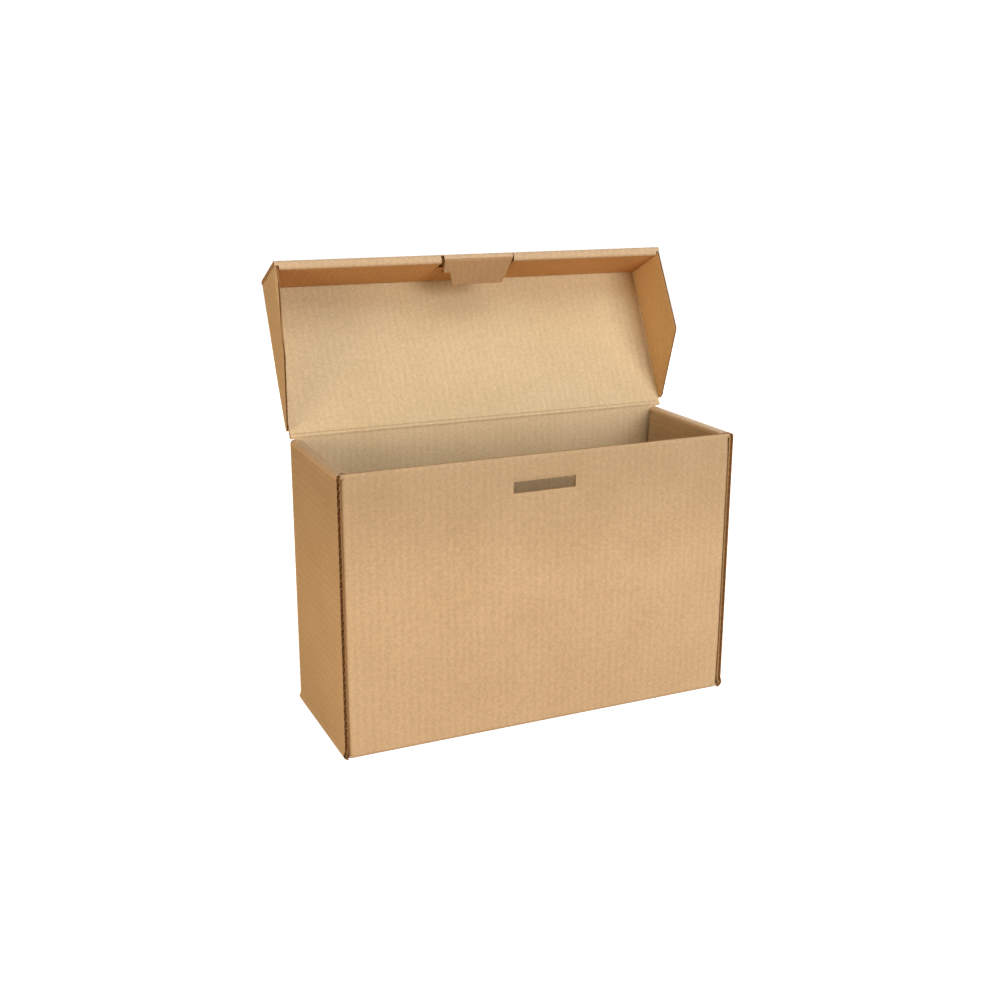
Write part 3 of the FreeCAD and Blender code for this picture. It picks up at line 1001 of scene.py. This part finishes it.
def make_side_roll(side, out):
    """The top of a side wall, rolled over the dust flaps into the box.

    Its outer part is as deep as the outer wall, and only what lies between the
    front and the back is rolled on into the box.
    """
    roll = Panel(f"{side}_side_rolled_edge", "+Z", "+Y", out)
    wall = Panel(f"{side}_side_outer_wall", "+Z", "+Y", out)
    low, high = box_home.box(roll.node)
    outer = (high[0] - low[0]) / 2
    length = math.pi * outer
    inner = outer - board_thickness
    between = math.acos((inner / outer) ** (1 / SIDE_ROLL_POWER)) / math.pi * length
    loop = [(0, wall.low[1]), (between, wall.low[1]), (between, low[1])]
    loop += [(length, low[1]), (length, high[1]), (between, high[1])]
    loop += [(between, wall.high[1]), (0, wall.high[1])]
    cut = die_cut([loop])
    centre = ((low[0] + high[0]) / 2, 0, low[2])
    curve = rolled_place(
        box_home, centre, out, "+Z", "+Y", inner, SIDE_ROLL_POWER, SIDE_ROLL_SQUASH
    )
    roll.mirrored = out == "-X"

    def place(across, along, height):
        return curve(across / length * math.pi, along, height)

    piece = make_board(
        f"{side}_top_roll", roll, cut, place, ROLL_PAPERS, board_thickness
    )


make_side_roll("left", "-X")
make_side_roll("right", "+X")

# %% [markdown]
# ## The lid
#
# The lid is a shallow tray.  Its front is doubled and rolled like the side
# walls, with the lock tab cut out of the roll, and its flaps end in crushed
# tongues held between the two plies.  The panel bows slightly, and pressing
# leaves grooves beside the flaps and one faint line from front to back.  Such
# dents could be sculpted, but as small functions they stay even and repeatable.
# Only the left flap stands away from the box, as a free flap tends to do.

# %% Lid panel and front wall
LID_BOW = 0.0010
GROOVE_DEPTH, GROOVE_REACH = 0.0006, 0.0011
LINE_PLACE, LINE_FROM, LINE_TO = -0.0645, -0.0713, -0.0059
LINE_DEPTH, LINE_REACH = 0.00035, 0.0009
lid_top = Panel("lid_panel", "+X", "+Y", "+Z")


def side_grooves(across, along, share):
    """The creases the flaps turn on press the inner face in beside them."""
    edge = np.where(across < 0, lid_top.low[0], lid_top.high[0])
    near = np.exp(-(((abs(across - edge) - GROOVE_REACH) / GROOVE_REACH) ** 2))
    return GROOVE_DEPTH * near * (1 - share)


def pressed_line(across, along, share):
    """A faint line that the press left on the inside, between two flutes."""
    near = np.exp(-(((across - LINE_PLACE) / LINE_REACH) ** 2))
    return LINE_DEPTH * near * (along > LINE_FROM) * (along < LINE_TO) * (1 - share)


piece = make_panel(
    "lid_board", lid_top, PAPERS, joined=ALL_ROUND, shape=bowed(lid_top, LID_BOW),
    dents=[side_grooves, pressed_line],
)
outer_ply = Panel("lid_front_outer_ply", "+X", "+Z", "-Y")
inner_ply = Panel("lid_front_inner_ply", "+X", "+Z", "+Y")

# %% The lid's front: two plies and where their roll is
LID_ROLL_POWER, LID_ROLL_SQUASH = 0.85, 0.62
lid_roll_low, lid_roll_high = lid_home.box("lid_front_rolled_edge")
lid_roll_radius = (lid_roll_high[1] - lid_roll_low[1]) / 2
roll_shift = lid_roll_radius * (1 - LID_ROLL_SQUASH)
lid_roll_centre = (
    0, (lid_roll_low[1] + lid_roll_high[1]) / 2, lid_roll_high[2] - roll_shift
)


def to_roll(panel, folds=()):
    """The ply's outline, longer by as much as the pressed roll sits further out."""
    foot = panel.low[1]
    return [
        [(x, y - roll_shift if abs(y - foot) < TOUCHING else y) for x, y in loop]
        for loop in extend_outline(panel, folds)
    ]


piece = make_panel(
    "lid_front_board", outer_ply, PAPERS, [(1, 1, None)], [(1, -1)],
    loops=to_roll(outer_ply, [(1, 1)]),
)
piece = make_panel(
    "lid_front_inner_board", inner_ply, INNER_PLY_PAPERS, joined=[(1, -1)],
    loops=to_roll(inner_ply),
)

# %% Lid roll


def make_lid_roll():
    """The free edge of the lid front, rolled over, with the lock tab cut out."""
    roll = Panel("lid_front_rolled_edge", "+X", "+Y", "-Z")
    inner = lid_roll_radius - board_thickness
    curve = rolled_place(
        lid_home, lid_roll_centre, "-Y", "-Z", "+X", inner, LID_ROLL_POWER, LID_ROLL_SQUASH
    )
    wide, narrow = outer_ply.high[0], lid_roll_high[0]
    loop = [(-wide, 0), (wide, 0), (wide, OUTER_SHARE), (narrow, OUTER_SHARE), (narrow, 1)]
    loop += [(TAB_RIGHT, 1), (TAB_RIGHT, SLIT_START), (tab_half, SLIT_START)]
    loop += [(tab_half, TAB_START), (-tab_half, TAB_START), (-tab_half, SLIT_START)]
    loop += [(TAB_LEFT, SLIT_START), (TAB_LEFT, 1), (-narrow, 1)]
    loop += [(-narrow, OUTER_SHARE), (-wide, OUTER_SHARE)]
    half_turn = math.pi * lid_roll_radius
    loop = [(x, share * half_turn) for x, share in loop]
    cut = die_cut([loop], steps_along(half_turn, ROLL_STEPS))
    roll.mirrored = True

    def place(across, along, height):
        return curve(along / half_turn * math.pi, across, height)

    piece = make_board(
        "lid_front_roll", roll, cut, place, ROLL_PAPERS, board_thickness
    )


tab_half = tab_home.box("lock_tab")[1][0]
NEAR_TAB = 0.06
shoulders = [p for loop in inner_ply.loops for p in loop if abs(p[0]) < NEAR_TAB]
TAB_LEFT = min(p[0] for p in shoulders)
TAB_RIGHT = max(p[0] for p in shoulders)
SLIT_START, TAB_START, OUTER_SHARE, ROLL_STEPS = 0.27, 0.53, 0.54, 14
make_lid_roll()

# %% [markdown]
# ### Flaps and tongues
#
# A flap is cut with a slant, and its free corners are rounded.  A bevel could
# round them, but the outline has to be ready before the board is cut from it.

# %% Flaps and tongues
CORNER_RADIUS, CORNER_STEPS = 0.004, 5
SPLAY, SPLAY_RUN = 0.0056, 0.07


def rounded_corner(before, corner, after):
    """Points on an arc in place of a sharp corner."""
    corner = np.array(corner)
    one, two = np.array(before) - corner, np.array(after) - corner
    one, two = one / np.linalg.norm(one), two / np.linalg.norm(two)
    half = math.acos(float(one @ two)) / 2
    inward = (one + two) / np.linalg.norm(one + two)
    centre = corner + inward * CORNER_RADIUS / math.sin(half)
    start = corner + one * CORNER_RADIUS / math.tan(half) - centre
    turn = math.pi - 2 * half
    if one[0] * two[1] - one[1] * two[0] > 0:
        turn = -turn
    points = []
    for step in range(CORNER_STEPS + 1):
        angle = turn * step / CORNER_STEPS
        cosine, sine = math.cos(angle), math.sin(angle)
        x = centre[0] + start[0] * cosine - start[1] * sine
        y = centre[1] + start[0] * sine + start[1] * cosine
        points.append((float(x), float(y)))
    return points


def flap_loops(panel, folds):
    """The flap's outline with its free lower corners rounded."""
    loop = extend_outline(panel, folds)[0]
    lower, front = panel.high[0] - CORNER_RADIUS, panel.low[1] + CORNER_RADIUS
    free = [corner for corner in loop if corner[0] < lower and corner[1] > front]
    rounded = []
    for index, corner in enumerate(loop):
        if corner in free:
            before, after = loop[index - 1], loop[(index + 1) % len(loop)]
            rounded += rounded_corner(before, corner, after)
        else:
            rounded.append(corner)
    return [rounded]


def splayed(panel):
    """The left flap stands away from the box where no tongue holds it."""

    def shape(height, depth):
        drop = np.clip((panel.high[0] - height) / (panel.high[0] - panel.low[0]), 0, 1)
        free = np.clip((depth - panel.low[1]) / SPLAY_RUN, 0, 1)
        return SPLAY * drop * free**2 * (3 - 2 * free)

    return shape


def make_lid_flap(side, out):
    flap = Panel(f"lid_{side}_flap", "+Z", "+Y", out)
    folds = [(0, 1, *EVERYWHERE)]
    shape = splayed(flap) if side == "left" else None
    piece = make_panel(
        f"lid_{side}_flap_board", flap, FLAP_PAPERS, [(0, 1, None)], [(1, -1)],
        crush=FLAP_CRUSH, loops=flap_loops(flap, folds), shape=shape,
    )
    tongue = Panel(f"lid_{side}_flap_tongue", "+Z", "+X", "-Y")
    make_panel(f"lid_{side}_tongue_board", tongue, PAPERS)


make_lid_flap("left", "-X")
make_lid_flap("right", "+X")

# %% [markdown]
# ### Lock tab
#
# The tab is cut out of the roll and springs out of it.  It could be a plate on
# a hinge, but real board comes round the roll first and only then goes straight,
# so the same rolling function carries its root.  Its left side keeps the node's
# shoulder, and its right side is cut straight.

# %% Lock tab
STILL_SHARE, FREE_PAST_BEND, TAB_STEPS = 0.3, 0.0015, 4


def make_lock_tab():
    """The tab goes on round the roll, then leaves it straight at its own angle.
    """
    panel = Panel("lock_tab", "+X", "+Z", "+Y")
    inner = lid_roll_radius - board_thickness
    curve = rolled_place(
        lid_home, lid_roll_centre, "-Y", "-Z", "+X", inner, squash=LID_ROLL_SQUASH
    )
    start, aim = TAB_START * math.pi, math.pi - tab_opening
    leave = math.pi - math.atan(LID_ROLL_SQUASH * math.tan(tab_opening))
    bend = (leave - start) * lid_roll_radius
    run = math.sin(aim) * lid_home.axes["Y"] - math.cos(aim) * lid_home.axes["Z"]
    zero, one = np.zeros(1), np.ones(1)
    edge = curve(one * leave, zero, one * board_thickness / 2)[0]
    lead = (tab_home.origin - edge) @ run
    root, tip = (pick(point[1] for point in panel.loops[0]) for pick in (min, max))
    loop = [
        (x, 0 if y == root else bend + lead + y)
        for x, y in panel.loops[0]
        if x < 0 or y in (root, tip)
    ]
    cut = die_cut([loop], steps_along(bend, TAB_STEPS))

    def place(across, along, height):
        angle = start + np.clip(along / bend, 0, 1) * (leave - start)
        beyond = np.maximum(along - bend, 0)
        return curve(angle, across, height) + beyond[:, None] * run

    panel.mirrored = not panel.mirrored
    piece = make_board(
        "lock_tab_board", panel, cut, place, TAB_PAPERS, board_thickness
    )
    del piece["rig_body"]
    piece.parent = None
    still = place(zero, one * bend * STILL_SHARE, one * board_thickness / 2)[0]
    free = place(zero, one * (bend + FREE_PAST_BEND), one * board_thickness / 2)[0]
    tuple(still)
    tuple(free)
    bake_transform(piece)


make_lock_tab()

# %% [markdown]
# ## The crease the lid turns on
#
# Between the back of the box and the lid the board is crushed to a soft strip.
# It is one piece of board with both, so it can't ride on either: it is drawn
# from the box at its foot to the lid at its top, and is left on no body.
# Crushing pinches it at the score line beside the lid and swells its inner face
# into a small round bead.

# %% Hinge crease
PINCH, PINCH_REACH, BEAD = 0.32, 0.0008, 0.0007
CREASE_STEPS = 12


def make_hinge_crease():
    crease = Panel("lid_hinge_crease", "+X", "+Z", "+Y")
    back = box_home.box("back_panel")
    foot = np.array((0, (back[0][1] + back[1][1]) / 2, back[1][2]))
    reach = -lid_home.box("lid_panel")[1][1]
    top = lid_home.point(0, -reach, 0)
    foot_run, top_run = box_home.direction("+Z"), lid_home.direction("-Y")
    foot_out, top_out = box_home.direction("+Y"), lid_home.direction("+Z")
    length = float(np.linalg.norm(top - foot))
    wide = lid_top.high[0]
    strip = rectangle(-wide, wide, 0, length)
    cut = die_cut([strip], steps_along(length, CREASE_STEPS))

    def place(across, along, height):
        share = (along / length)[:, None]
        pull = length * share * (1 - share)
        path = foot + (top - foot) * share**2 * (3 - 2 * share)
        path = path + pull * ((1 - share) * foot_run - share * top_run)
        out = foot_out * (1 - share) + top_out * share
        out /= np.linalg.norm(out, axis=1)[:, None]
        score = np.exp(-(((along - length) / PINCH_REACH) ** 2))
        rise = (height - board_thickness / 2) * (1 - PINCH * score)
        bead = BEAD * np.sin(math.pi * along / length) ** 2
        rise = rise - bead * (height < board_thickness / 2)
        points = path + rise[:, None] * out
        points[:, 0] = across
        return points

    piece = make_board("hinge_crease_board", crease, cut, place, PAPERS, board_thickness)
    del piece["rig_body"]
    piece.parent = None
    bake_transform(piece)


make_hinge_crease()
